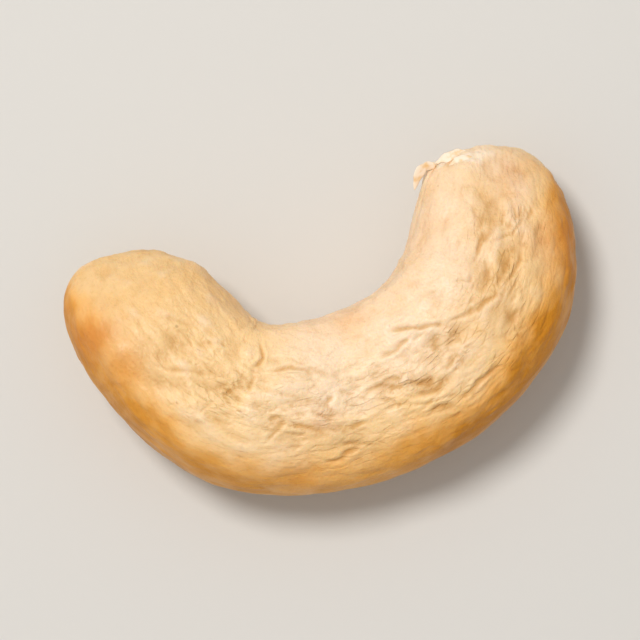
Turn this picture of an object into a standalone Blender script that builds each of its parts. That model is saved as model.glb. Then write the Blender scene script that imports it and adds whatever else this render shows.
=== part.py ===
"""Cashew kernel, shelled and blanched, lying on its cheek. Metres, +Z up.

The kernel is one grown piece: two halves joined along a seam that runs round its edge. Its body
is a thick strand bent into a C. A middle line gives the bend, and sections across that line give
its width and thickness. The seam, the furrow inside the bend and the creases of the skin are
then pressed into the surface along its normals. Lengths inside the form functions are in mm.
"""

import bmesh
import bpy
import numpy as np
from mathutils import Vector, noise

MM = 0.001

# The middle line seen from above, from the end of the broad lobe to the tip: x, y, half the
# body's width and half its thickness there, and how many degrees the body rolls, inner side up
MIDDLE_LINE = np.array((
    (-10.6, 8.75, 4.65, 4.00, -9),
    (-10.75, 6.7, 4.40, 4.50, -7),
    (-9.6, 2.65, 4.65, 4.80, -4),
    (-7.75, -0.75, 4.90, 4.70, 0),
    (-3.0, -3.3, 5.20, 4.50, 2),
    (1.5, -3.65, 5.35, 4.50, 2),
    (6.1, -2.4, 5.35, 4.65, 3),
    (9.0, -0.05, 5.25, 4.65, 6),
    (10.65, 3.3, 4.65, 4.30, 11),
    (12.1, 7.55, 4.40, 3.70, 15),
))
LINE_STEPS = 600

# How far from each end its rounding starts: on the back, inside the bend, and in thickness
LOBE_END = (4.2, 4.8, 6.8)
TIP_END = (6.6, 4.8, 7.4)
END_POWERS = (2.45, 2.35, 2.0)
SECTION_POWER = 2.5
BACK_FULLNESS = 0.05

# The kernel rests on three low points, each flattened a little, at these shares of its length
LOW_POINTS = (0.19, 0.51, 0.82)
LOW_POINT_REACH = 2.4
FLAT_DEPTH = 0.17
ARCH_LIFT = 0.14

SEAM_DEPTH = 0.10
SEAM_WIDTH = 0.22
SEAM_WANDER = 0.16
SEAM_WANDER_PITCH = 2.2

# The furrow inside the bend starts, is whole, fades and ends at these places on the middle line
FURROW_SPAN = (7, 13, 25, 32)
FURROW_DEPTH = 0.36
FURROW_REACH = 0.34

# The germ's nib, at the inner corner of the tip
NIB = (8.35, 7.35, 3.9)
NIB_SIZE = 0.75
NIB_HEIGHT = 0.45

# How upright a normal points where the upper cheek starts, and where it is fully reached
UPPER_CHEEK = (0.05, 0.5)

# Broad hollows and swellings of the upper cheek: x, y, radius, height
CHEEK_FORMS = (
    (-10.2, 4.6, 3.0, -0.16),
    (10.4, 3.0, 2.6, -0.14),
    (-2.6, -1.9, 2.4, 0.10),
    (6.4, -2.6, 2.6, -0.10),
    (-6.3, -3.9, 2.2, 0.10),
)

# Creases and ridges of the upper cheek: points along each, half width, height
CREASES = (
    (((2.8, -0.7), (4.1, -0.9), (6.0, -1.4)), 0.17, -0.17),
    (((6.1, -1.4), (7.6, -1.2), (8.7, -0.9), (9.5, -0.8)), 0.15, -0.13),
    (((1.8, -1.9), (2.8, -1.8), (3.9, -1.4)), 0.15, -0.12),
    (((7.2, 0.6), (8.1, 0.5), (8.4, 0.9)), 0.14, -0.12),
    (((8.6, 1.5), (9.4, 2.2), (9.5, 2.6)), 0.16, -0.14),
    (((10.2, 2.2), (11.4, 2.4), (12.2, 2.8)), 0.14, -0.10),
    (((10.2, -0.4), (10.8, 0.2), (11.4, 0.7), (11.6, 1.2)), 0.15, -0.13),
    (((5.1, -3.8), (5.8, -3.5)), 0.20, -0.13),
    (((5.4, -5.7), (6.9, -5.2), (8.0, -4.6)), 0.17, -0.15),
    (((0.2, -3.9), (1.3, -3.5), (2.0, -3.8)), 0.16, -0.13),
    (((2.1, -3.9), (3.0, -3.8), (4.1, -4.4)), 0.16, -0.13),
    (((-1.9, -3.4), (-1.3, -3.2)), 0.20, -0.12),
    (((3.1, -5.6), (4.0, -5.2)), 0.15, -0.10),
    (((-0.7, -2.4), (0.8, -2.9)), 0.13, -0.07),
    (((-4.3, 1.1), (-4.6, 0.2), (-5.1, -0.3)), 0.17, -0.17),
    (((-4.5, -0.6), (-2.1, -1.3)), 0.15, -0.11),
    (((-6.0, -1.4), (-5.2, -0.5)), 0.15, -0.10),
    (((-7.8, -0.5), (-6.7, -0.5)), 0.17, -0.11),
    (((-10.4, 1.7), (-8.5, 0.8), (-7.4, 0.1)), 0.17, -0.08),
    (((-9.4, 4.3), (-7.6, 3.4)), 0.17, -0.06),
    (((-7.6, 2.2), (-6.0, 1.5)), 0.17, -0.07),
    (((-8.9, -1.5), (-8.1, -1.5)), 0.17, -0.09),
    (((-4.5, -3.5), (-5.8, -4.4)), 0.20, -0.12),
    (((-3.1, -6.8), (-1.9, -6.7), (-0.9, -6.5)), 0.20, -0.14),
    (((-3.9, -3.7), (-1.4, -4.8), (0.0, -5.1), (0.8, -4.9)), 0.24, 0.13),
    (((-12.2, 1.4), (-10.8, -0.3), (-7.1, -1.8), (-3.8, -3.4)), 0.60, 0.08),
)
LIP_SHARE = 0.4
CREASE_FADE = (-0.15, 0.25)
CREASE_WANDER = 0.22
CREASE_WANDER_PITCH = 0.9

# The strip where the skin is most wrinkled, and the fine wrinkles that run along it
WRINKLED_STRIP = (
    (11.0, 5.0), (10.8, 1.5), (8.6, -1.6), (4.8, -3.9), (0.0, -4.6), (-4.2, -3.2), (-8.2, 0.4),
)
STRIP_REACH = 2.2
WRINKLE_LENGTH = 3.4
WRINKLE_PITCH = 1.15
WRINKLE_HEIGHT = 0.075
WRINKLES_ELSEWHERE = 0.35
SWELLS = ((7.5, 0.20), (3.1, 0.08))

CELLS_ALONG = 54
CELLS_AROUND = 21
BLANK_SLACK = 0.001
FINEST = 0.36

KERNEL_COLOUR = (0.80, 0.53, 0.25, 1.0)
KERNEL_ROUGHNESS = 0.48


def smooth_curve(keys, values, at):
    """Natural cubic curve through the values at the keys, read at the places in at."""
    gap = np.diff(keys)
    system = np.eye(len(keys))
    bend = np.zeros_like(values)
    for i in range(1, len(keys) - 1):
        system[i, i - 1:i + 2] = gap[i - 1], 2 * (gap[i - 1] + gap[i]), gap[i]
        rise = (values[i + 1] - values[i]) / gap[i] - (values[i] - values[i - 1]) / gap[i - 1]
        bend[i] = 6 * rise
    bend = np.linalg.solve(system, bend)
    k = np.clip(np.searchsorted(keys, at) - 1, 0, len(gap) - 1)
    h = gap[k][:, None]
    a = (keys[k + 1] - at)[:, None] / h
    b = 1 - a
    curved = (a**3 - a) * bend[k] + (b**3 - b) * bend[k + 1]
    return a * values[k] + b * values[k + 1] + curved * h**2 / 6


def end_rounding(s, length, end):
    """Share of the full section left at s, for the side named by end in LOBE_END and TIP_END."""
    share = np.ones_like(s)
    power = END_POWERS[end]
    for distance, reach in ((s, LOBE_END[end]), (length - s, TIP_END[end])):
        inside = np.clip(1 - distance / reach, 0, 1)
        share *= (1 - inside**power) ** (1 / power)
    return share


def body_line():
    """Everything that the sections need, at close steps along the middle line."""
    keys = np.r_[0, np.cumsum(np.linalg.norm(np.diff(MIDDLE_LINE[:, :2], axis=0), axis=1))]
    s = np.linspace(0, keys[-1], LINE_STEPS)
    x, y, width, thickness, roll = smooth_curve(keys, MIDDLE_LINE, s).T
    way = np.stack((np.gradient(x, s), np.gradient(y, s)))
    way /= np.linalg.norm(way, axis=0)
    length = s[-1]
    sink = np.full_like(s, -ARCH_LIFT)
    for share in LOW_POINTS:
        near = np.exp(-(((s - share * length) / LOW_POINT_REACH) ** 2))
        sink += (ARCH_LIFT + FLAT_DEPTH) * near
    back, inside, height = (end_rounding(s, length, end) for end in range(3))
    skin = np.hypot(np.diff(s), np.diff(width * (back + inside) / 2))
    return {
        "s": s,
        "x": x,
        "y": y,
        "out_x": way[1],
        "out_y": -way[0],
        "back": width * back,
        "inside": width * inside,
        "height": thickness * height,
        "middle": thickness - sink,
        "roll": np.radians(roll),
        "skin": np.r_[0, np.cumsum(skin)],
    }


def blank(along, around):
    """Closed box of quads, 2 across each way, with its long cells along X."""
    mesh = bmesh.new()
    bmesh.ops.create_cube(mesh, size=2)
    for axis, cells in enumerate((along, around, around)):
        edges = [e for e in mesh.edges if abs(e.verts[0].co[axis] - e.verts[1].co[axis]) > 1]
        bmesh.ops.subdivide_edges(mesh, edges=edges, cuts=cells - 1, use_grid_fill=True)
    return mesh


def split_corners(mesh):
    """Cuts the quads on the diagonals of both ends from inner to outer corner, so that none folds."""
    for face in list(mesh.faces):
        x, y, z = (abs(middle) for middle in face.calc_center_median())
        if x > 1 - BLANK_SLACK and y > BLANK_SLACK and abs(y - z) < BLANK_SLACK:
            inner, *_, outer = sorted(face.verts, key=lambda v: abs(v.co.y) + abs(v.co.z))
            bmesh.utils.face_split(face, inner, outer)


def grid_places(corners, along, around):
    """Each blank vertex as a place, -1 to 1 along the kernel, and a turn, 0 inside the bend."""
    x, y, z = corners.T
    ring = np.maximum(abs(y), abs(z))
    rows = x * along / 2 + np.sign(x) * (1 - ring) * around / 2
    place = rows / (along / 2 + around / 2)
    flank = abs(y) >= abs(z)
    with np.errstate(divide="ignore", invalid="ignore"):
        on_flank = np.where(y < 0, np.pi, 0) + np.pi / 4 * np.nan_to_num(z / y)
        on_cheek = np.sign(z) * np.pi / 2 - np.pi / 4 * np.nan_to_num(y / z)
    return place, np.where(flank, on_flank, on_cheek)


def body_points(place, turn):
    """Points of the smooth body, and the same points as if the middle line ran straight along X."""
    line = body_line()
    skin = (place + 1) / 2 * line["skin"][-1]
    at = {key: np.interp(skin, line["skin"], value) for key, value in line.items()}
    side = -np.sign(np.cos(turn)) * abs(np.cos(turn)) ** (2 / SECTION_POWER)
    rise = np.sign(np.sin(turn)) * abs(np.sin(turn)) ** (2 / SECTION_POWER)
    across = side * np.where(side > 0, at["back"], at["inside"])
    above_seam = at["height"] * rise * (1 + BACK_FULLNESS * side)
    reach = across * np.cos(at["roll"]) + above_seam * np.sin(at["roll"])
    x = at["x"] + at["out_x"] * reach
    y = at["y"] + at["out_y"] * reach
    z = at["middle"] + above_seam * np.cos(at["roll"]) - across * np.sin(at["roll"])
    return np.stack((x, y, z), axis=1), np.stack((at["s"], across, above_seam), axis=1)


def bump(distance, reach):
    return np.exp(-((distance / reach) ** 2))


def step_up(value, low, high):
    """Rises smoothly from 0 at low to 1 at high, or falls where low is the larger."""
    share = np.clip((value - low) / (high - low), 0, 1)
    return share * share * (3 - 2 * share)


def path_distance(points, path):
    """Plan distance of each point from a path, and how far along it the nearest place is, 0 to 1."""
    path = np.array(path)
    lengths = np.linalg.norm(np.diff(path, axis=0), axis=1)
    nearest = np.full(len(points), np.inf)
    share = np.zeros(len(points))
    for i, length in enumerate(lengths):
        way = (path[i + 1] - path[i]) / length
        offset = points[:, :2] - path[i]
        along = np.clip(offset @ way, 0, length)
        distance = np.linalg.norm(offset - along[:, None] * way, axis=1)
        closer = distance < nearest
        nearest = np.where(closer, distance, nearest)
        share = np.where(closer, (lengths[:i].sum() + along) / lengths.sum(), share)
    return nearest, share


def noise_at(points, pitch):
    return np.array([noise.noise(Vector(point)) for point in points / pitch])


def seam_and_furrow(points, straight, turn):
    """The groove between the two halves, and the furrow that it lies in inside the bend."""
    s, _, above_seam = straight.T
    wander = SEAM_WANDER * noise_at(points * (1, 1, 0), SEAM_WANDER_PITCH)
    groove = -SEAM_DEPTH * bump(above_seam - wander, max(SEAM_WIDTH, FINEST))
    inner = bump(turn, FURROW_REACH)
    start, whole, fading, end = FURROW_SPAN
    return groove - FURROW_DEPTH * inner * step_up(s, start, whole) * step_up(s, end, fading)


def creases(points):
    """Named creases and ridges of the upper cheek, each with raised lips, fading at its ends."""
    height = np.zeros(len(points))
    drift = [noise_at(points + offset, CREASE_WANDER_PITCH) for offset in (17, 34)]
    winding = points[:, :2] + CREASE_WANDER * np.stack(drift, axis=1)
    for path, half_width, rise in CREASES:
        distance, share = path_distance(winding, path)
        reach = max(half_width, FINEST)
        fade = step_up(np.minimum(share, 1 - share), *CREASE_FADE)
        lips = LIP_SHARE * bump(distance - 2 * reach, reach)
        height += rise * fade * (bump(distance, reach) - lips)
    return height


def wrinkles(points, straight, upper):
    """Fine wrinkles that run along the body, strongest on a strip of the upper cheek."""
    strip, _ = path_distance(points, WRINKLED_STRIP)
    strength = WRINKLES_ELSEWHERE + (1 - WRINKLES_ELSEWHERE) * bump(strip, STRIP_REACH) * upper
    fold = 1 - 2 * abs(noise_at(straight, (WRINKLE_LENGTH, WRINKLE_PITCH, WRINKLE_PITCH)))
    return -WRINKLE_HEIGHT * strength * fold**3


def skin_relief(points, normals, straight, turn):
    """Height of the skin over the smooth body."""
    upper = step_up(normals[:, 2], *UPPER_CHEEK)
    height = seam_and_furrow(points, straight, turn)
    height += NIB_HEIGHT * bump(np.linalg.norm(points - NIB, axis=1), NIB_SIZE)
    for pitch, rise in SWELLS:
        height += rise * noise_at(points, pitch)
    for x, y, radius, rise in CHEEK_FORMS:
        height += upper * rise * bump(np.linalg.norm(points[:, :2] - (x, y), axis=1), radius)
    return height + upper * creases(points) + wrinkles(points, straight, upper)


def shape_kernel(mesh, along, around):
    """Moves the blank's vertices onto the kernel's surface."""
    corners = np.array([v.co for v in mesh.verts])
    place, turn = grid_places(corners, along, around)
    points, straight = body_points(place, turn)
    for vertex, point in zip(mesh.verts, points):
        vertex.co = point
    mesh.normal_update()
    normals = np.array([v.normal for v in mesh.verts])
    points = points + normals * skin_relief(points, normals, straight, turn)[:, None]
    points[:, 2] = np.maximum(points[:, 2], 0)
    for vertex, point in zip(mesh.verts, points * MM):
        vertex.co = point


def kernel_material():
    material = bpy.data.materials.new("kernel_skin")
    material.use_nodes = True
    shader = material.node_tree.nodes["Principled BSDF"]
    shader.inputs["Base Color"].default_value = KERNEL_COLOUR
    shader.inputs["Roughness"].default_value = KERNEL_ROUGHNESS
    shader.inputs["Metallic"].default_value = 0.0
    material.diffuse_color = KERNEL_COLOUR
    return material


def kernel():
    mesh = blank(CELLS_ALONG, CELLS_AROUND)
    split_corners(mesh)
    shape_kernel(mesh, CELLS_ALONG, CELLS_AROUND)
    data = bpy.data.meshes.new("kernel")
    mesh.to_mesh(data)
    mesh.free()
    data.shade_smooth()
    data.materials.append(kernel_material())
    placed = bpy.data.objects.new("kernel", data)
    bpy.context.scene.collection.objects.link(placed)
    return placed


def main():
    for old in list(bpy.data.objects):
        bpy.data.objects.remove(old, do_unlink=True)
    kernel()


main()
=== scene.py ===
"""Looks for the cashew kernel: its skin, a plain floor, soft light and the camera above it.

The kernel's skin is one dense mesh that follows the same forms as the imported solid, with finer
wrinkles and the torn skin added. Its forms are worked out in mm and placed in metres.
"""

import math

import bpy
import numpy as np
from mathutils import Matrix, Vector, noise


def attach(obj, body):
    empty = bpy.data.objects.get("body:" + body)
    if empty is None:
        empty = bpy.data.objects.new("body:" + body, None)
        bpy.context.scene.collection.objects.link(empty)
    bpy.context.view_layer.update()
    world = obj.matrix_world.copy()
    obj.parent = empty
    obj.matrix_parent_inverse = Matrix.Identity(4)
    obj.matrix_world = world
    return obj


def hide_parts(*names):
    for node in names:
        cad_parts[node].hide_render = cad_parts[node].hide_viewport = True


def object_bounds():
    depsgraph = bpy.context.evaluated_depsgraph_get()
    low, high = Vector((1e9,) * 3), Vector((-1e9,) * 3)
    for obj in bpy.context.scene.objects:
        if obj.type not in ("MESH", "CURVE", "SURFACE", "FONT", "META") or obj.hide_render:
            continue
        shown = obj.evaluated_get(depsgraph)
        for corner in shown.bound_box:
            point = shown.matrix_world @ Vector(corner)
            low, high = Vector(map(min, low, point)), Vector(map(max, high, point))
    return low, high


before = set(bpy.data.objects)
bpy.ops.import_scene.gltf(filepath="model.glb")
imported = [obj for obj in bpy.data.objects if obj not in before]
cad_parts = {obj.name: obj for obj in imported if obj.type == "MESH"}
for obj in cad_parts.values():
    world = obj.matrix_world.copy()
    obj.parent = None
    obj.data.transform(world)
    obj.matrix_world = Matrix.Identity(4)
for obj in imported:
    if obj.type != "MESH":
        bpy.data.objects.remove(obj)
cad_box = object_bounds()

MM = 0.001

# The middle line seen from above, from the end of the broad lobe to the tip: x, y, half the
# body's width and half its thickness there, and how many degrees the body rolls, inner side up
MIDDLE_LINE = np.array((
    (-10.6, 8.75, 4.65, 4.00, -9),
    (-10.75, 6.7, 4.40, 4.50, -7),
    (-9.6, 2.65, 4.65, 4.80, -4),
    (-7.75, -0.75, 4.90, 4.70, 0),
    (-3.0, -3.3, 5.20, 4.50, 2),
    (1.5, -3.65, 5.35, 4.50, 2),
    (6.1, -2.4, 5.35, 4.65, 3),
    (9.0, -0.05, 5.25, 4.65, 6),
    (10.65, 3.3, 4.65, 4.30, 11),
    (12.1, 7.55, 4.40, 3.70, 15),
))
LINE_STEPS = 600

# How far from each end its rounding starts: on the back, inside the bend, and in thickness
LOBE_END = (4.2, 4.8, 6.8)
TIP_END = (6.6, 4.8, 7.4)
END_POWERS = (2.45, 2.35, 2.0)
SECTION_POWER = 2.5
BACK_FULLNESS = 0.05

# The kernel rests on three low points, each flattened a little, at these shares of its length
LOW_POINTS = (0.19, 0.51, 0.82)
LOW_POINT_REACH = 2.4
FLAT_DEPTH = 0.17
ARCH_LIFT = 0.14

SEAM_DEPTH = 0.10
SEAM_WIDTH = 0.22
SEAM_WANDER = 0.16
SEAM_WANDER_PITCH = 2.2

# The line that the seam draws in the skin: its half width, and where noise breaks it up
SEAM_MARK = 0.12
SEAM_BREAK_PITCH = 1.4
SEAM_BREAKS = (-0.5, 0.2)

# The furrow inside the bend starts, is whole, fades and ends at these places on the middle line
FURROW_SPAN = (7, 13, 25, 32)
FURROW_DEPTH = 0.36
FURROW_REACH = 0.34

# The germ's nib, at the inner corner of the tip
NIB = (8.35, 7.35, 3.9)
NIB_SIZE = 0.75
NIB_HEIGHT = 0.45

# How upright a normal points where the upper cheek starts, and where it is fully reached
UPPER_CHEEK = (0.05, 0.5)

# Broad hollows and swellings of the upper cheek: x, y, radius, height
CHEEK_FORMS = (
    (-10.2, 4.6, 3.0, -0.16),
    (10.4, 3.0, 2.6, -0.14),
    (-2.6, -1.9, 2.4, 0.10),
    (6.4, -2.6, 2.6, -0.10),
    (-6.3, -3.9, 2.2, 0.10),
)

# Creases and ridges of the upper cheek: points along each, half width, height
CREASES = (
    (((2.8, -0.7), (4.1, -0.9), (6.0, -1.4)), 0.17, -0.17),
    (((6.1, -1.4), (7.6, -1.2), (8.7, -0.9), (9.5, -0.8)), 0.15, -0.13),
    (((1.8, -1.9), (2.8, -1.8), (3.9, -1.4)), 0.15, -0.12),
    (((7.2, 0.6), (8.1, 0.5), (8.4, 0.9)), 0.14, -0.12),
    (((8.6, 1.5), (9.4, 2.2), (9.5, 2.6)), 0.16, -0.14),
    (((10.2, 2.2), (11.4, 2.4), (12.2, 2.8)), 0.14, -0.10),
    (((10.2, -0.4), (10.8, 0.2), (11.4, 0.7), (11.6, 1.2)), 0.15, -0.13),
    (((5.1, -3.8), (5.8, -3.5)), 0.20, -0.13),
    (((5.4, -5.7), (6.9, -5.2), (8.0, -4.6)), 0.17, -0.15),
    (((0.2, -3.9), (1.3, -3.5), (2.0, -3.8)), 0.16, -0.13),
    (((2.1, -3.9), (3.0, -3.8), (4.1, -4.4)), 0.16, -0.13),
    (((-1.9, -3.4), (-1.3, -3.2)), 0.20, -0.12),
    (((3.1, -5.6), (4.0, -5.2)), 0.15, -0.10),
    (((-0.7, -2.4), (0.8, -2.9)), 0.13, -0.07),
    (((-4.3, 1.1), (-4.6, 0.2), (-5.1, -0.3)), 0.17, -0.17),
    (((-4.5, -0.6), (-2.1, -1.3)), 0.15, -0.11),
    (((-6.0, -1.4), (-5.2, -0.5)), 0.15, -0.10),
    (((-7.8, -0.5), (-6.7, -0.5)), 0.17, -0.11),
    (((-10.4, 1.7), (-8.5, 0.8), (-7.4, 0.1)), 0.17, -0.08),
    (((-9.4, 4.3), (-7.6, 3.4)), 0.17, -0.06),
    (((-7.6, 2.2), (-6.0, 1.5)), 0.17, -0.07),
    (((-8.9, -1.5), (-8.1, -1.5)), 0.17, -0.09),
    (((-4.5, -3.5), (-5.8, -4.4)), 0.20, -0.12),
    (((-3.1, -6.8), (-1.9, -6.7), (-0.9, -6.5)), 0.20, -0.14),
    (((-3.9, -3.7), (-1.4, -4.8), (0.0, -5.1), (0.8, -4.9)), 0.24, 0.13),
    (((-12.2, 1.4), (-10.8, -0.3), (-7.1, -1.8), (-3.8, -3.4)), 0.60, 0.08),
)
LIP_SHARE = 0.4
CREASE_FADE = (-0.15, 0.25)
CREASE_WANDER = 0.22
CREASE_WANDER_PITCH = 0.9
CREASE_DRIFTS = (17, 34)
CREASE_SHARPNESS = 1.3
CREASE_NARROWING = 0.75

# The strip where the skin is most wrinkled, and the fine wrinkles that run along it
WRINKLED_STRIP = (
    (11.0, 5.0), (10.8, 1.5), (8.6, -1.6), (4.8, -3.9), (0.0, -4.6), (-4.2, -3.2), (-8.2, 0.4),
)
STRIP_REACH = 2.2
WRINKLE_LENGTH = 3.4
WRINKLE_PITCH = 1.15
WRINKLE_HEIGHT = 0.075
WRINKLES_ELSEWHERE = 0.35

# Swellings all over the body: pitch and height of each layer
SWELLS = ((7.5, 0.20), (3.1, 0.08))

# The mesh's cells, how much closer they lie on the upper cheek, and its narrowest forms
CELLS_ALONG = 300
CELLS_AROUND = 72
DENSER_ABOVE = 0.38
FINEST = 0.1

# Fine relief goes no deeper than this, and is marked as a full groove at the second depth
DEEPEST = 0.24
GROOVE_FULL = 0.16

# Crinkles too fine for the solid: length, pitch and depth of each layer, and how they run
CRINKLES = ((3.4, 1.10, 0.20), (1.9, 0.64, 0.17), (1.0, 0.38, 0.11))
CRINKLE_FOLD = 0.10
CRINKLE_TAPER = 0.30
CRINKLE_WANDER = 0.50
CRINKLE_WANDER_PITCH = 1.9
CRINKLE_DRIFTS = (0, 31, 62)
CRINKLE_SLANT = 0.20
CRINKLE_RISE = 3.5
CRINKLE_LAYERS_APART = 7
CRINKLE_BREAKS = (-0.45, 0.40)

# Soft puffs of the skin: length, width and height of each layer, their share where the skin is
# smooth, and the height that is marked as a full puff
PUFFS = ((2.2, 1.5, 0.19), (1.2, 0.8, 0.15), (0.7, 0.45, 0.06))
PUFFS_ELSEWHERE = 0.40
PUFF_FULL = 0.11

# How wide the crumpled strip is, how crumpled the skin is away from it, below the cheek and
# between its patches, and where it turns smooth again on the way to the tip
CRUMPLED_REACH = 2.7
CRUMPLED_LEAST = 0.15
CRUMPLED_BELOW = 0.6
CRUMPLED_BETWEEN = 0.45
CRUMPLED_PATCH_PITCH = 2.6
CRUMPLED_PATCHES = (-0.40, 0.15)
SMOOTH_TIP = (2.8, 4.8)
SMOOTH_TIP_SHARE = 0.85

# Calm places on that strip: x, y, radius, strength
CALM_PATCHES = (
    (10.9, 1.6, 1.0, 0.75),
    (-2.2, -3.1, 0.9, 0.60),
)

# Roasted patches on the upper cheek: x, y, radius, strength
TOASTED = (
    (-13.4, 4.4, 1.5, 0.85),
    (-12.2, 2.6, 1.6, 0.45),
    (-4.6, -6.9, 1.2, 0.22),
    (-2.6, -4.6, 0.9, 0.30),
    (12.9, 5.6, 1.6, 0.35),
    (14.2, 1.0, 2.0, 0.60),
    (0.9, 0.6, 1.2, 0.22),
    (-14.5, 6.5, 0.4, 0.50),
    (9.5, 7.6, 0.45, 0.55),
    (7.6, 3.8, 2.3, 0.12),
)

# Painted light: lighter patches on the lower shoulder and near the tip, where the lamp falls weakly:
# x, y, radius, strength
PAINTED_LIGHT_PATCHES = (
    (-5.4, -5.4, 1.7, 0.42),
    (11.8, 6.2, 1.5, 0.50),
)

# The torn end of the tip: centre and reach of each patch, its ragged edge, and how rough it is
TORN = (((9.6, 7.4, 4.2), 1.35), ((11.0, 7.1, 5.3), 0.65))
TORN_RAGGED = 0.9
TORN_RAGGED_PITCH = 0.9
TORN_EDGE = 0.25
TORN_ROUGHNESS = ((0.75, 0.10), (0.32, 0.07))

# Flakes of torn skin there: x, y and z of points along each, and half its width at each of them
FLAKES = (
    (
        (8.60, 7.45, 4.9, 0.10),
        (8.12, 7.62, 5.0, 0.28),
        (7.70, 7.48, 5.1, 0.31),
        (7.32, 7.08, 5.1, 0.24),
        (7.00, 6.55, 5.0, 0.03),
    ),
    (
        (8.70, 7.60, 4.9, 0.05),
        (9.10, 7.70, 5.1, 0.30),
        (9.60, 7.70, 5.3, 0.34),
        (10.10, 7.75, 5.2, 0.28),
        (10.60, 7.70, 5.1, 0.04),
    ),
    (
        (9.30, 7.15, 5.8, 0.05),
        (9.80, 7.30, 5.8, 0.26),
        (10.40, 7.25, 5.8, 0.24),
        (11.00, 7.05, 5.7, 0.04),
    ),
)

# How thick the flakes are, how many degrees they lean over, and how ragged and patchy they are
FLAKE_THICKNESS = 0.06
FLAKE_LEAN = 62
FLAKE_RINGS = 40
FLAKE_SIDES = 12
FLAKE_RAGGED = 0.55
FLAKE_RAGGED_PITCH = 0.35
FLAKE_ROUGHNESS = 0.45
FLAKE_MOTTLE_PITCH = 0.5
FLAKE_MOTTLE = (0.4, 0.7)

CREAM = (0.91, 0.65, 0.35, 1)
PALE = (0.93, 0.73, 0.53, 1)
TAN = (0.84, 0.55, 0.25, 1)
# Gold and ochre are partly roast colour and partly painted shade of the rim
GOLD = (0.90, 0.46, 0.11, 1)
OCHRE = (0.59, 0.23, 0.010, 1)
TOAST = (0.66, 0.24, 0.04, 1)
TORN_WHITE = (0.94, 0.80, 0.64, 1)
# Painted shade in hollows, grooves and folds, and the real darker tone of the seam, fibres and grain
SHADE_AND_STREAK_TINT = (0.70, 0.53, 0.28, 1)
SPECK = (0.42, 0.22, 0.08, 1)

# The edges of the colours drift: pitch and amount of each layer, and how far that stretches patches
COLOUR_DRIFT = ((3.3, 0.16), (1.2, 0.08))
PATCH_STRETCH = 1.3

# Where on X the right half and the painted shade at each end of the rim start and are whole;
# the right end gets more of it
RIGHT_HALF = (0, 9)
RIGHT_FLANK = (-2, 6)
LEFT_FLANK = (-5, -11)
LEFT_FLANK_SHARE = 0.7

# Where each colour starts and is whole: ALONG in mm on the middle line, HEIGHT in mm above the
# seam, RIM and INSIDE across the body, from -1 inside the bend to 1 on the back of a body of this
# half width. SHARE is its strength there, and FLANKS what the flank shade adds to it. Towards the
# rim the tan, gold and ochre are partly a deeper roast and partly painted shade of the rim
HALF_WIDTH = 5.0
PALE_INSIDE = (0.45, 0.0)
PALE_ALONG = (11, 17)
TAN_ALONG = (12, 2)
TAN_STRIP_REACH = 2.1
TAN_STRIP_SHARE = 0.15
TAN_STRIP_RIGHT = 0.75
TAN_RIM = (0.2, 0.65)
TAN_RIM_SHARE = 0.55
GOLD_RIM = (0.50, 0.90)
GOLD_RIM_FLANKS = 0.15
GOLD_INSIDE = (-0.5, -0.9)
GOLD_INSIDE_SHARE = 0.2
OCHRE_RIM = (0.66, 0.95)
OCHRE_RIM_FLANKS = 0.14
OCHRE_SHARE = 0.47
OCHRE_SHARE_FLANKS = 0.68
OCHRE_HEIGHT = (-2.6, 0.6)
OCHRE_HEIGHT_DRIFT = 5
OCHRE_BELOW = 0.35

# Noise in the skin: pitch in mm, and how many finer layers it has. Fibres run along the body
NOISES = {"blotches": (3.6, 2.0), "mottle": (1.1, 2.0), "grain": (0.20, 3.0)}
FIBRES = (0.45, 3.0)
FIBRE_STRETCH = (0.42, 1, 0.35)

# How patchy each colour is: the noise that varies it, from low to high, and its strength there
PATCHY = {
    "pale": (("blotches", 0.3, 0.6, 0.7, 1.0),),
    "tan": (("mottle", 0.3, 0.7, 0.7, 1.1),),
    "gold": (("mottle", 0.3, 0.7, 0.8, 1.15),),
    "ochre": (("blotches", 0.3, 0.7, 0.75, 1.0), ("mottle", 0.35, 0.65, 0.72, 1.08)),
    "toast": (("mottle", 0.3, 0.65, 0.6, 1.0),),
}

# Tints that follow the relief and the noise: each from and to, and its strength there. Those of
# the relief are painted light: painted shade in the puffs' hollows, the grooves and the fine
# folds, and a painted highlight on the puffs' tops and the grooves' raised lips
PUFF_HOLLOW_SHADE = (-0.1, -1.0, 0.0, 0.32)
PUFF_TOP_HIGHLIGHT = (0.1, 1.0, 0.0, 0.45)
GROOVE_SHADE = (0.10, 1.0, 0.0, 0.75)
LIP_HIGHLIGHT = (-0.15, -0.9, 0.0, 0.35)
FIBRE_TINT = (0.50, 0.75, 0.0, 0.15)
GRAIN_TINT = (0.50, 0.75, 0.0, 0.20)
TORN_TINT = 0.8
SEAM_TINT = 0.7
# Painted shade in the fine folds
FOLD_SHADE = 0.30
SPECK_TINT = 0.6

# The net of fine folds: its pitch, the width of a fold, the swirls in it and where it breaks up
FOLD_PITCH = 0.42
FOLD_WIDTH = 0.16
FOLD_SWIRL_PITCH = 0.5
FOLD_SWIRL = 0.35
FOLD_BREAKS = (0.35, 0.65)

# Small dark specks: how far apart, how large, how ragged, and in which of their cells
SPECK_PITCH = 1.5
SPECK_SIZE = (0.09, 0.02)
SPECK_RAGGED = (0.3, 0.7, 0.7, 1.4)
SPECK_CHOICE = (0.55, 0.95)

# Roughness from the mottle and from the grooves, and heights in mm of the finest relief
MOTTLE_ROUGHNESS = (0.3, 0.7, 0.36, 0.50)
GROOVE_ROUGHNESS = (0.1, 1.0, 0.0, 0.15)
FIBRE_RELIEF = 0.04
FOLD_RELIEF = -0.05
GRAIN_RELIEF = 0.05

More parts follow.
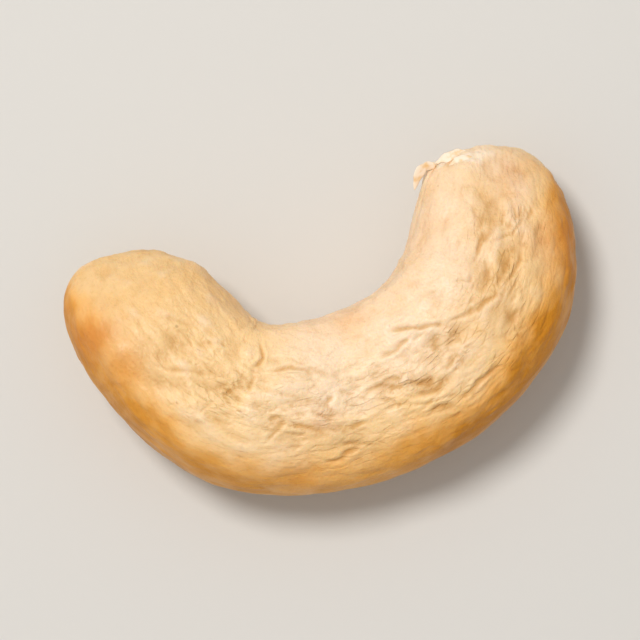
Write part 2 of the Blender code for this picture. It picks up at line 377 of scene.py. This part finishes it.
# The skin's shine, and how much light enters it and how deep in mm
SPECULAR = 0.30
SUBSURFACE = 0.20
SUBSURFACE_RADIUS = (1.0, 0.50, 0.22)
SUBSURFACE_DEPTH = 0.5

# The camera looks straight down, turned so that the kernel's right end points up to the right
CAMERA_TURN = -19
LENS = 200
SENSOR = 36
FRAME_SHARE = 0.80

# The floor and the wall round it, in metres, and the plain room that lights them
FLOOR_RADIUS = 0.60
FLOOR_FLAT = 0.36
WALL_HEIGHT = 0.42
FLOOR_RINGS = 48
FLOOR_SIDES = 96
FLOOR_GAP = 0.00002
FLOOR_COLOUR = (0.66, 0.65, 0.63, 1)
FLOOR_ROUGHNESS = 0.9
WORLD_COLOUR = (1.0, 0.98, 0.95, 1)
WORLD_STRENGTH = 0.50


def unit(vectors):
    return vectors / np.linalg.norm(vectors, axis=1)[:, None]


def lengths_along(points):
    """How far along their path each of the points lies."""
    return np.r_[0, np.cumsum(np.linalg.norm(np.diff(points, axis=0), axis=1))]


def bump(distance, reach):
    return np.exp(-((distance / reach) ** 2))


def step_up(value, low, high):
    """Rises smoothly from 0 at low to 1 at high, or falls where low is the larger."""
    share = np.clip((value - low) / (high - low), 0, 1)
    return share * share * (3 - 2 * share)


def at_least(least, share):
    """The share from 0 to 1, made to run from least to 1."""
    return least + (1 - least) * share


def smooth_curve(keys, values, at):
    """Natural cubic curve through the values at the keys, read at the places in at."""
    gap = np.diff(keys)
    system = np.eye(len(keys))
    bend = np.zeros_like(values)
    for i in range(1, len(keys) - 1):
        system[i, i - 1:i + 2] = gap[i - 1], 2 * (gap[i - 1] + gap[i]), gap[i]
        rise = (values[i + 1] - values[i]) / gap[i] - (values[i] - values[i - 1]) / gap[i - 1]
        bend[i] = 6 * rise
    bend = np.linalg.solve(system, bend)
    k = np.clip(np.searchsorted(keys, at) - 1, 0, len(gap) - 1)
    h = gap[k][:, None]
    a = (keys[k + 1] - at)[:, None] / h
    b = 1 - a
    curved = (a**3 - a) * bend[k] + (b**3 - b) * bend[k + 1]
    return a * values[k] + b * values[k + 1] + curved * h**2 / 6


def end_rounding(s, length, end):
    """Share of the full section left at s, for the side named by end in LOBE_END and TIP_END."""
    share = np.ones_like(s)
    power = END_POWERS[end]
    for distance, reach in ((s, LOBE_END[end]), (length - s, TIP_END[end])):
        inside = np.clip(1 - distance / reach, 0, 1)
        share *= (1 - inside**power) ** (1 / power)
    return share


def body_line():
    """What the sections need to know, at close steps along the middle line."""
    keys = lengths_along(MIDDLE_LINE[:, :2])
    length = keys[-1]
    s = np.linspace(0, length, LINE_STEPS)
    x, y, width, thickness, roll = smooth_curve(keys, MIDDLE_LINE, s).T
    way = unit(np.gradient(np.stack((x, y), axis=1), s, axis=0))
    sink = np.full_like(s, -ARCH_LIFT)
    for share in LOW_POINTS:
        sink += (ARCH_LIFT + FLAT_DEPTH) * bump(s - share * length, LOW_POINT_REACH)
    back, inside, height = (end_rounding(s, length, end) for end in range(3))
    skin = np.hypot(np.diff(s), np.diff(width * (back + inside) / 2))
    return {
        "s": s,
        "x": x,
        "y": y,
        "out_x": way[:, 1],
        "out_y": -way[:, 0],
        "back": width * back,
        "inside": width * inside,
        "height": thickness * height,
        "middle": thickness - sink,
        "roll": np.radians(roll),
        "skin": np.r_[0, np.cumsum(skin)],
    }


def box_grid(along, around):
    """Corners and quads of a closed box, 2 across each way, with its long cells along X."""
    cells = np.array((along, around, around))
    windings = (((0, 0), (0, 1), (1, 1), (1, 0)), ((0, 0), (1, 0), (1, 1), (0, 1)))
    corners = []
    for axis in range(3):
        u, v = (axis + 1) % 3, (axis + 2) % 3
        across, up = np.meshgrid(np.arange(cells[u]), np.arange(cells[v]), indexing="ij")
        for end, steps in enumerate(windings):
            quads = np.zeros(across.shape + (4, 3), int)
            quads[..., axis] = end * cells[axis]
            for corner, (step_u, step_v) in enumerate(steps):
                quads[..., corner, u] = across + step_u
                quads[..., corner, v] = up + step_v
            corners.append(quads.reshape(-1, 3))
    corners, index = np.unique(np.concatenate(corners), axis=0, return_inverse=True)
    return corners / cells * 2 - 1, index.reshape(-1, 4)


def grid_places(corners, along, around):
    """Each blank vertex as a place, -1 to 1 along the kernel, and a turn, 0 inside the bend."""
    x, y, z = corners.T
    ring = np.maximum(abs(y), abs(z))
    rows = x * along / 2 + np.sign(x) * (1 - ring) * around / 2
    place = rows / (along / 2 + around / 2)
    flank = abs(y) >= abs(z)
    with np.errstate(divide="ignore", invalid="ignore"):
        on_flank = np.where(y < 0, np.pi, 0) + np.pi / 4 * np.nan_to_num(z / y)
        on_cheek = np.sign(z) * np.pi / 2 - np.pi / 4 * np.nan_to_num(y / z)
    return place, np.where(flank, on_flank, on_cheek)


def body_points(place, turn):
    """Points of the smooth body, and the same points as if the middle line ran straight along X."""
    line = body_line()
    skin = (place + 1) / 2 * line["skin"][-1]
    at = {key: np.interp(skin, line["skin"], value) for key, value in line.items()}
    side = -np.sign(np.cos(turn)) * abs(np.cos(turn)) ** (2 / SECTION_POWER)
    rise = np.sign(np.sin(turn)) * abs(np.sin(turn)) ** (2 / SECTION_POWER)
    across = side * np.where(side > 0, at["back"], at["inside"])
    above_seam = at["height"] * rise * (1 + BACK_FULLNESS * side)
    reach = across * np.cos(at["roll"]) + above_seam * np.sin(at["roll"])
    x = at["x"] + at["out_x"] * reach
    y = at["y"] + at["out_y"] * reach
    z = at["middle"] + above_seam * np.cos(at["roll"]) - across * np.sin(at["roll"])
    return np.stack((x, y, z), axis=1), np.stack((at["s"], across, above_seam), axis=1)


def path_distance(points, path):
    """Plan distance of each point from a path, and how far along it the nearest place is, 0 to 1."""
    path = np.array(path)
    lengths = np.linalg.norm(np.diff(path, axis=0), axis=1)
    nearest = np.full(len(points), np.inf)
    share = np.zeros(len(points))
    for i, length in enumerate(lengths):
        way = (path[i + 1] - path[i]) / length
        offset = points[:, :2] - path[i]
        along = np.clip(offset @ way, 0, length)
        distance = np.linalg.norm(offset - along[:, None] * way, axis=1)
        closer = distance < nearest
        nearest = np.where(closer, distance, nearest)
        share = np.where(closer, (lengths[:i].sum() + along) / lengths.sum(), share)
    return nearest, share


def noise_at(points, pitch):
    return np.array([noise.noise(Vector(point)) for point in points / pitch])


def wandering(points, pitch, offsets):
    """Noise in one column for each offset, which is how far away in the noise it is read."""
    return np.stack([noise_at(points + offset, pitch) for offset in offsets], axis=1)


def seam_line(points, straight, half_width):
    """1 along the winding line where the two halves meet, fading to 0 at its sides."""
    wander = SEAM_WANDER * noise_at(points * (1, 1, 0), SEAM_WANDER_PITCH)
    return bump(straight[:, 2] - wander, max(half_width, FINEST))


def seam_and_furrow(points, straight, turn):
    """The groove between the two halves, and the furrow that it lies in inside the bend."""
    groove = -SEAM_DEPTH * seam_line(points, straight, SEAM_WIDTH)
    inner = bump(turn, FURROW_REACH)
    start, whole, fading, end = FURROW_SPAN
    s = straight[:, 0]
    return groove - FURROW_DEPTH * inner * step_up(s, start, whole) * step_up(s, end, fading)


def creases(points):
    """Named creases and ridges of the upper cheek, each with raised lips, fading at its ends."""
    deepest = np.zeros(len(points))
    highest = np.zeros(len(points))
    drift = wandering(points, CREASE_WANDER_PITCH, CREASE_DRIFTS)
    winding = points[:, :2] + CREASE_WANDER * drift
    for path, half_width, rise in CREASES:
        distance, share = path_distance(winding, path)
        reach = max(CREASE_NARROWING * half_width, FINEST)
        fade = step_up(np.minimum(share, 1 - share), *CREASE_FADE)
        lips = LIP_SHARE * bump(distance - 2 * reach, reach)
        height = rise * fade * (np.exp(-(distance / reach) ** CREASE_SHARPNESS) - lips)
        deepest = np.minimum(deepest, height)
        highest = np.maximum(highest, height)
    return deepest + highest


def wrinkles(points, straight, upper):
    """Fine wrinkles that run along the body, strongest on a strip of the upper cheek."""
    strip, _ = path_distance(points, WRINKLED_STRIP)
    strength = at_least(WRINKLES_ELSEWHERE, bump(strip, STRIP_REACH) * upper)
    fold = 1 - 2 * abs(noise_at(straight, (WRINKLE_LENGTH, WRINKLE_PITCH, WRINKLE_PITCH)))
    return -WRINKLE_HEIGHT * strength * fold**3


def broad_relief(points, straight, turn, upper):
    """Height of the broad forms of the skin over the smooth body."""
    height = seam_and_furrow(points, straight, turn)
    height += NIB_HEIGHT * bump(np.linalg.norm(points - NIB, axis=1), NIB_SIZE)
    for pitch, rise in SWELLS:
        height += rise * noise_at(points, pitch)
    for x, y, radius, rise in CHEEK_FORMS:
        height += upper * rise * bump(np.linalg.norm(points[:, :2] - (x, y), axis=1), radius)
    return height


def patches(points, spots, stretch):
    """Share of soft round patches, each x, y, radius and strength, that stretch makes uneven."""
    share = np.zeros(len(points))
    for x, y, radius, strength in spots:
        away = np.linalg.norm(points[:, :2] - (x, y), axis=1) * stretch
        share = np.maximum(share, strength * bump(away, radius))
    return share


def crumpling(points, upper):
    """How crumpled the skin is, 0 to 1: most of all on a strip of the upper cheek, in patches."""
    strip, _ = path_distance(points, WRINKLED_STRIP)
    in_patches = step_up(noise_at(points, CRUMPLED_PATCH_PITCH), *CRUMPLED_PATCHES)
    patchy = at_least(CRUMPLED_BETWEEN, in_patches)
    patchy *= 1 - SMOOTH_TIP_SHARE * (points[:, 0] > 0) * step_up(points[:, 1], *SMOOTH_TIP)
    patchy *= 1 - patches(points, CALM_PATCHES, 1)
    on_strip = bump(strip, CRUMPLED_REACH) * at_least(CRUMPLED_BELOW, upper)
    return at_least(CRUMPLED_LEAST, on_strip * patchy)


def cell_edges(places):
    """How far each place is from the edge of its cell, and how much nearer than a third cell."""
    edges = np.empty((len(places), 2))
    for row, place in zip(edges, places):
        (first, second, third, _), seeds = noise.voronoi(Vector(place))
        row[0] = (second**2 - first**2) / (2 * (seeds[1] - seeds[0]).length)
        row[1] = third - second
    return edges.T


def crinkles(points, straight):
    """Short sharp folds of the skin that thin out at both ends, from coarse to fine."""
    slanted = straight.copy()
    slanted[:, 1] -= CRINKLE_SLANT * straight[:, 0]
    winding = slanted + CRINKLE_WANDER * wandering(points, CRINKLE_WANDER_PITCH, CRINKLE_DRIFTS)
    height = np.zeros(len(points))
    for layer, (length, pitch, depth) in enumerate(CRINKLES):
        edge, corner = cell_edges(winding / (length, pitch, CRINKLE_RISE * pitch))
        broken = noise_at(points + CRINKLE_LAYERS_APART * layer, 2 * pitch)
        whole = step_up(corner, 0, CRINKLE_TAPER) * step_up(broken, *CRINKLE_BREAKS)
        height -= depth * whole * np.exp(-edge / CRINKLE_FOLD)
    return height


def puffs(straight):
    """Soft swellings of the skin, longer along the body than across it."""
    return sum(rise * noise_at(straight, (length, pitch, pitch)) for length, pitch, rise in PUFFS)


def torn_end(points):
    """Share of the torn skin at the tip's inner corner, with an uneven edge."""
    ragged = TORN_RAGGED * noise_at(points, TORN_RAGGED_PITCH)
    torn = np.zeros(len(points))
    for centre, reach in TORN:
        away = np.linalg.norm(points - centre, axis=1) + ragged
        torn = np.maximum(torn, step_up(away, reach + TORN_EDGE, reach - TORN_EDGE))
    return torn


def colour_marks(points, straight, upper):
    """Shares of each colour of the skin, from where a point lies on the body. Towards the rim and
    the ends they hold painted shade as well as roast colour, and a few patches are painted light.
    """
    s, across, above_seam = straight.T
    x = points[:, 0]
    drift = sum(amount * noise_at(points, pitch) for pitch, amount in COLOUR_DRIFT)
    outward = across / HALF_WIDTH + drift
    # Painted shade at both ends of the rim, most at the right end
    flank_shade = step_up(x, *RIGHT_FLANK) + LEFT_FLANK_SHARE * step_up(x, *LEFT_FLANK)
    toast = patches(points, TOASTED, 1 + PATCH_STRETCH * drift)
    # Painted light, which also holds back the tan and gold in these patches
    painted_light = patches(points, PAINTED_LIGHT_PATCHES, 1 + PATCH_STRETCH * drift)

    pale = step_up(outward, *PALE_INSIDE) * step_up(s, *PALE_ALONG)

    strip, _ = path_distance(points, WRINKLED_STRIP)
    strip_share = TAN_STRIP_SHARE + TAN_STRIP_RIGHT * step_up(x, *RIGHT_HALF)
    tan = step_up(s, *TAN_ALONG) + strip_share * bump(strip, TAN_STRIP_REACH)
    # Towards the rim the tan is partly painted shade
    tan += TAN_RIM_SHARE * step_up(outward, *TAN_RIM)

    # Gold: a deeper roast towards the back, and partly painted shade of the rim
    gold = step_up(outward + GOLD_RIM_FLANKS * flank_shade, *GOLD_RIM)
    gold += GOLD_INSIDE_SHARE * step_up(outward, *GOLD_INSIDE)

    # Ochre: partly roast colour and partly painted shade of the rim, strongest above the seam
    ochre = step_up(outward + OCHRE_RIM_FLANKS * flank_shade, *OCHRE_RIM)
    ochre *= OCHRE_SHARE + OCHRE_SHARE_FLANKS * flank_shade
    above = step_up(above_seam + OCHRE_HEIGHT_DRIFT * drift, *OCHRE_HEIGHT)
    ochre *= at_least(OCHRE_BELOW, above)

    seam = seam_line(points, straight, SEAM_MARK)
    seam *= step_up(noise_at(points, SEAM_BREAK_PITCH), *SEAM_BREAKS)
    return {
        "pale": np.maximum(pale, painted_light),
        "tan": np.clip(tan, 0, 1) * (1 - painted_light),
        "gold": np.clip(gold, 0, 1) * (1 - painted_light),
        "ochre": ochre,
        "toast": toast * upper,
        "seam": seam,
        "torn": torn_end(points),
    }


def vertex_normals(points, quads):
    """Unit normals at the vertices of a closed mesh of quads."""
    a, b, c, d = (points[quads[:, corner]] for corner in range(4))
    faces = np.cross(c - a, d - b)
    normals = np.zeros_like(points)
    for corner in range(4):
        np.add.at(normals, quads[:, corner], faces)
    return unit(normals)


def kernel_form():
    """Points in mm and quads of the skin, with what the colours need to know about each point."""
    corners, quads = box_grid(CELLS_ALONG, CELLS_AROUND)
    place, turn = grid_places(corners, CELLS_ALONG, CELLS_AROUND)
    turn += DENSER_ABOVE * np.cos(turn)
    points, straight = body_points(place, turn)
    normals = vertex_normals(points, quads)
    upper = step_up(normals[:, 2], *UPPER_CHEEK)
    crumpled = crumpling(points, upper)
    fine = upper * creases(points) + wrinkles(points, straight, upper)
    fine += crumpled * crinkles(points, straight)
    puffed = at_least(PUFFS_ELSEWHERE, crumpled) * puffs(straight)
    fine = np.where(fine < 0, DEEPEST * np.tanh(fine / DEEPEST), fine)
    groove = -fine / GROOVE_FULL
    torn = torn_end(points)
    for pitch, rise in TORN_ROUGHNESS:
        fine += torn * rise * noise_at(points, pitch)
    relief = broad_relief(points, straight, turn, upper) + fine + puffed
    skin = points + normals * relief[:, None]
    skin[:, 2] = np.maximum(skin[:, 2], 0)
    marks = colour_marks(points, straight, upper)
    # The groove and puff marks also paint shade and highlights into the colour
    marks.update(groove=groove, crumpled=crumpled, puffed=puffed / PUFF_FULL)
    return skin, quads, marks, straight


def tube_quads(rings):
    """Quads between each ring of points and the next, where rings holds the points' numbers."""
    after = np.roll(rings, -1, axis=1)
    return np.stack((rings[:-1], after[:-1], after[1:], rings[1:]), axis=-1).reshape(-1, 4)


def place_object(name, data):
    placed = bpy.data.objects.new(name, data)
    bpy.context.scene.collection.objects.link(placed)
    return placed


def smooth_mesh(name, points, faces, material):
    """A new smooth object with these points, in metres, and these faces."""
    data = bpy.data.meshes.new(name)
    data.from_pydata(points, [], faces)
    data.shade_smooth()
    data.materials.append(material)
    return place_object(name, data)


def feed(tree, sockets, values):
    """Each socket set to its value, or linked where the value is a socket."""
    for socket, value in zip(sockets, values):
        if isinstance(value, bpy.types.NodeSocket):
            tree.links.new(value, socket)
        else:
            socket.default_value = value


def feed_named(tree, node, values):
    """The node's inputs of these names, each set to its value or linked to a socket."""
    feed(tree, [node.inputs[name] for name in values], values.values())


def add(tree, kind, inputs=None, **settings):
    """A new node with its settings, and each named input set to a value or linked to a socket."""
    made = tree.nodes.new(kind)
    for name, value in settings.items():
        setattr(made, name, value)
    feed_named(tree, made, inputs or {})
    return made


def share_of(tree, name):
    return add(tree, "ShaderNodeAttribute", attribute_name=name).outputs["Fac"]


def spread(tree, value, low, high, to_low=0.0, to_high=1.0):
    """The value between low and high, stretched smoothly from to_low to to_high."""
    stops = {"Value": value, "From Min": low, "From Max": high, "To Min": to_low, "To Max": to_high}
    return add(tree, "ShaderNodeMapRange", stops, interpolation_type="SMOOTHSTEP").outputs["Result"]


def arithmetic(tree, operation, a, b):
    made = add(tree, "ShaderNodeMath", operation=operation)
    feed(tree, made.inputs, (a, b))
    return made.outputs["Value"]


def times(tree, a, b):
    return arithmetic(tree, "MULTIPLY", a, b)


def paint(tree, share, under, over, how="MIX"):
    """The colour over laid on the colour under, as far as share says."""
    made = add(tree, "ShaderNodeMix", {"Factor": share}, data_type="RGBA", blend_type=how)
    feed(tree, [socket for socket in made.inputs if socket.type == "RGBA"], (under, over))
    return next(socket for socket in made.outputs if socket.type == "RGBA")


def cloud(tree, where, pitch, detail=2.0):
    """Noise from 0 to 1 whose forms are about pitch across, in the unit of where."""
    inputs = {"Vector": where, "Scale": 1 / pitch, "Detail": detail}
    return add(tree, "ShaderNodeTexNoise", inputs).outputs["Fac"]


def stirred(tree, where, pitch, amount):
    """The places in where, moved about by up to half of amount in swirls about pitch across."""
    swirl = add(tree, "ShaderNodeTexNoise", {"Vector": where, "Scale": 1 / pitch}).outputs["Color"]
    made = add(tree, "ShaderNodeVectorMath", operation="MULTIPLY_ADD")
    feed(tree, made.inputs, (swirl, (amount,) * 3, where))
    return made.outputs["Vector"]


def bumpy(tree, height, distance, under=None):
    """The normal of a surface roughened by height, over the normal under."""
    inputs = {"Distance": distance, "Height": height}
    if under:
        inputs["Normal"] = under
    return add(tree, "ShaderNodeBump", inputs).outputs["Normal"]


def new_material(name):
    material = bpy.data.materials.new(name)
    material.use_nodes = True
    return material


def patchy_mark(tree, name, noises):
    """A colour's share from the mesh, varied by the noises that PATCHY gives for it."""
    share = share_of(tree, name)
    for noise_name, *stops in PATCHY[name]:
        share = times(tree, share, spread(tree, noises[noise_name], *stops))
    return share


def fine_folds(tree, stretched, mottle):
    """A broken net of fine folds where the skin is crumpled."""
    swirling = stirred(tree, stretched, FOLD_SWIRL_PITCH, FOLD_SWIRL)
    inputs = {"Vector": swirling, "Scale": 1 / FOLD_PITCH}
    net = add(tree, "ShaderNodeTexVoronoi", inputs, feature="DISTANCE_TO_EDGE")
    lines = spread(tree, net.outputs["Distance"], 0.0, FOLD_WIDTH, 1.0, 0.0)
    broken = times(tree, lines, spread(tree, mottle, *FOLD_BREAKS))
    return times(tree, broken, share_of(tree, "crumpled"))


def dark_specks(tree, along, grain):
    """Small ragged specks, in some of the cells of a coarse net."""
    inputs = {"Vector": along, "Scale": 1 / SPECK_PITCH}
    cells = add(tree, "ShaderNodeTexVoronoi", inputs, feature="F1")
    choice = add(tree, "ShaderNodeSeparateColor", {"Color": cells.outputs["Color"]})
    ragged = times(tree, cells.outputs["Distance"], spread(tree, grain, *SPECK_RAGGED))
    chosen = spread(tree, choice.outputs["Red"], *SPECK_CHOICE)
    return times(tree, spread(tree, ragged, *SPECK_SIZE), chosen)


def skin_colour(tree, noises, folds, specks):
    """The skin's colours, laid on cream in this order, with painted shade in the hollows, grooves,
    folds and on the rim, and painted highlights on the puffs' tops and the grooves' lips.
    """
    mark = {name: patchy_mark(tree, name, noises) for name in PATCHY}
    puffed = share_of(tree, "puffed")
    groove = share_of(tree, "groove")
    coats = (
        (mark["pale"], PALE, "MIX"),
        (mark["tan"], TAN, "MIX"),
        # Painted shade in the puffs' hollows and a painted highlight on their tops
        (spread(tree, puffed, *PUFF_HOLLOW_SHADE), SHADE_AND_STREAK_TINT, "MULTIPLY"),
        (spread(tree, puffed, *PUFF_TOP_HIGHLIGHT), PALE, "MIX"),
        # Partly roast colour and partly painted shade of the rim
        (mark["gold"], GOLD, "MIX"),
        (mark["ochre"], OCHRE, "MIX"),
        (mark["toast"], TOAST, "MIX"),
        (times(tree, share_of(tree, "torn"), TORN_TINT), TORN_WHITE, "MIX"),
        # Painted shade in the grooves, the seam's real dark line, and a painted highlight on the
        # grooves' lips
        (spread(tree, groove, *GROOVE_SHADE), SHADE_AND_STREAK_TINT, "MULTIPLY"),
        (times(tree, share_of(tree, "seam"), SEAM_TINT), SHADE_AND_STREAK_TINT, "MULTIPLY"),
        (spread(tree, groove, *LIP_HIGHLIGHT), PALE, "MIX"),
        # Painted shade in the fine folds, then the real darker tone of fibres and grain, and specks
        (times(tree, folds, FOLD_SHADE), SHADE_AND_STREAK_TINT, "MULTIPLY"),
        (spread(tree, noises["fibres"], *FIBRE_TINT), SHADE_AND_STREAK_TINT, "MULTIPLY"),
        (spread(tree, noises["grain"], *GRAIN_TINT), SHADE_AND_STREAK_TINT, "MULTIPLY"),
        (times(tree, specks, SPECK_TINT), SPECK, "MIX"),
    )
    colour = CREAM
    for share, tint, how in coats:
        colour = paint(tree, share, colour, tint, how)
    return colour


def kernel_skin():
    """Blanched and roasted skin, coloured by the marks that the mesh carries, which also paint
    shade and highlights into the colour.
    """
    material = new_material("kernel_skin")
    tree = material.node_tree
    along = add(tree, "ShaderNodeAttribute", attribute_name="straight").outputs["Vector"]
    mapping = add(tree, "ShaderNodeMapping", {"Vector": along, "Scale": FIBRE_STRETCH})
    stretched = mapping.outputs["Vector"]
    noises = {name: cloud(tree, along, *layers) for name, layers in NOISES.items()}
    noises["fibres"] = cloud(tree, stretched, *FIBRES)
    folds = fine_folds(tree, stretched, noises["mottle"])
    specks = dark_specks(tree, along, noises["grain"])

    mottled = spread(tree, noises["mottle"], *MOTTLE_ROUGHNESS)
    grooved = spread(tree, share_of(tree, "groove"), *GROOVE_ROUGHNESS)
    normal = bumpy(tree, noises["fibres"], FIBRE_RELIEF * MM)
    normal = bumpy(tree, folds, FOLD_RELIEF * MM, normal)
    normal = bumpy(tree, noises["grain"], GRAIN_RELIEF * MM, normal)
    feed_named(tree, tree.nodes["Principled BSDF"], {
        "Base Color": skin_colour(tree, noises, folds, specks),
        "Roughness": arithmetic(tree, "ADD", mottled, grooved),
        "Normal": normal,
        "Specular IOR Level": SPECULAR,
        "Subsurface Weight": SUBSURFACE,
        "Subsurface Radius": SUBSURFACE_RADIUS,
        "Subsurface Scale": SUBSURFACE_DEPTH * MM,
    })
    return material


def torn_skin():
    """Dry whitish skin, tan in places."""
    material = new_material("torn_skin")
    tree = material.node_tree
    where = add(tree, "ShaderNodeTexCoord").outputs["Object"]
    mottle = spread(tree, cloud(tree, where, FLAKE_MOTTLE_PITCH * MM), *FLAKE_MOTTLE)
    feed_named(tree, tree.nodes["Principled BSDF"], {
        "Base Color": paint(tree, mottle, TORN_WHITE, TAN),
        "Roughness": FLAKE_ROUGHNESS,
    })
    return material


def floor_paint():
    material = new_material("floor")
    tree = material.node_tree
    looks = {"Base Color": FLOOR_COLOUR, "Roughness": FLOOR_ROUGHNESS}
    feed_named(tree, tree.nodes["Principled BSDF"], looks)
    return material


def kernel():
    """The kernel's skin, with its marks and straightened places stored on the mesh."""
    points, quads, marks, straight = kernel_form()
    piece = smooth_mesh("kernel_nut", points * MM, quads, kernel_skin())
    stored = piece.data.attributes
    for name, values in marks.items():
        stored.new(name, "FLOAT", "POINT").data.foreach_set("value", values.astype(np.float32))
    straight = straight.astype(np.float32).ravel()
    stored.new("straight", "FLOAT_VECTOR", "POINT").data.foreach_set("vector", straight)
    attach(piece, "root")
    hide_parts("kernel")
    return piece


def flake_rings(keys):
    """Rings of points round one flake, from its root to its tip."""
    keys = np.array(keys)
    reached = lengths_along(keys[:, :3])
    at = np.linspace(0, reached[-1], FLAKE_RINGS)
    curve = smooth_curve(reached, keys, at)
    path = curve[:, :3]
    half_width = curve[:, 3] * (1 + FLAKE_RAGGED * noise_at(path, FLAKE_RAGGED_PITCH))
    way = np.gradient(path, at, axis=0)
    level = unit(np.stack((way[:, 1], -way[:, 0], np.zeros(FLAKE_RINGS)), axis=1))
    lean = math.radians(FLAKE_LEAN)
    wide = math.sin(lean) * level + (0, 0, math.cos(lean))
    thin = unit(np.cross(way, wide))
    angles = np.linspace(0, 2 * math.pi, FLAKE_SIDES, endpoint=False)[:, None]
    offset = half_width[:, None, None] * np.cos(angles) * wide[:, None]
    offset += FLAKE_THICKNESS / 2 * np.sin(angles) * thin[:, None]
    return path[:, None] + offset


def skin_flakes():
    """Thin curled flakes of torn skin that stand off the end of the tip, each a closed shell."""
    points = np.concatenate([flake_rings(keys) for keys in FLAKES]).reshape(-1, 3)
    faces = []
    for rings in np.arange(len(points)).reshape(len(FLAKES), FLAKE_RINGS, FLAKE_SIDES):
        faces += [*tube_quads(rings), rings[0, ::-1], rings[-1]]
    piece = smooth_mesh("skin_flakes", points * MM, faces, torn_skin())
    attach(piece, "root")


def floor():
    """A flat round floor that curves up into a wall."""
    slope = np.linspace(0, math.pi / 2, FLOOR_RINGS + 1)[:, None]
    turn = np.linspace(0, 2 * math.pi, FLOOR_SIDES, endpoint=False)
    radius = FLOOR_FLAT + (FLOOR_RADIUS - FLOOR_FLAT) * np.sin(slope)
    height = WALL_HEIGHT * (1 - np.cos(slope)) * np.ones(FLOOR_SIDES)
    rings = np.stack((radius * np.cos(turn), radius * np.sin(turn), height), axis=-1)
    points = np.vstack(((0, 0, 0), rings.reshape(-1, 3)))
    numbers = np.arange(1, len(points)).reshape(-1, FLOOR_SIDES)
    middle = [(0, corner, after) for corner, after in zip(numbers[0], np.roll(numbers[0], -1))]
    faces = [*middle, *tube_quads(numbers)[:, ::-1]]
    placed = smooth_mesh("floor", points, faces, floor_paint())
    placed.location.z = -FLOOR_GAP


def soft_light(name, azimuth, elevation, distance, size, power, colour):
    """A round lamp that looks at the origin from this direction, in degrees, and distance."""
    data = bpy.data.lights.new(name, "AREA")
    data.shape = "DISK"
    data.size = size
    data.energy = power
    data.color = colour
    turn, rise = math.radians(azimuth), math.radians(elevation)
    level = math.cos(rise)
    way = Vector((math.cos(turn) * level, math.sin(turn) * level, math.sin(rise)))
    placed = place_object(name, data)
    placed.location = way * distance
    placed.rotation_euler = way.to_track_quat("Z", "Y").to_euler()


def lights():
    """One soft lamp, high up at the upper left of the picture, in an evenly lit pale room."""
    soft_light(
        "key", azimuth=113, elevation=67, distance=0.5, size=0.14, power=1.75,
        colour=(1.0, 0.97, 0.93),
    )
    world = bpy.data.worlds.new("pale_room")
    world.use_nodes = True
    background = world.node_tree.nodes["Background"]
    feed_named(world.node_tree, background, {"Color": WORLD_COLOUR, "Strength": WORLD_STRENGTH})
    bpy.context.scene.world = world
    bpy.context.scene.view_settings.view_transform = "Standard"


def camera(piece):
    """Straight above, with the kernel filling FRAME_SHARE of the picture."""
    turn = math.radians(CAMERA_TURN)
    right = np.array((math.cos(turn), math.sin(turn)))
    up = np.array((-math.sin(turn), math.cos(turn)))
    corners = np.empty(len(piece.data.vertices) * 3, np.float32)
    piece.data.vertices.foreach_get("co", corners)
    plan = corners.reshape(-1, 3)[:, :2]
    across, along = plan @ right, plan @ up
    middle = right * (across.max() + across.min()) / 2 + up * (along.max() + along.min()) / 2
    span = max(np.ptp(across), np.ptp(along)) / FRAME_SHARE
    data = bpy.data.cameras.new("camera")
    data.lens = LENS
    data.sensor_width = SENSOR
    data.clip_start = 0.01
    data.clip_end = 3
    placed = place_object("camera", data)
    placed.location = (middle[0], middle[1], span * LENS / SENSOR + cad_box[1].z / 2)
    placed.rotation_euler = (0, 0, turn)
    bpy.context.scene.camera = placed


piece = kernel()
skin_flakes()
camera(piece)
floor()
lights()
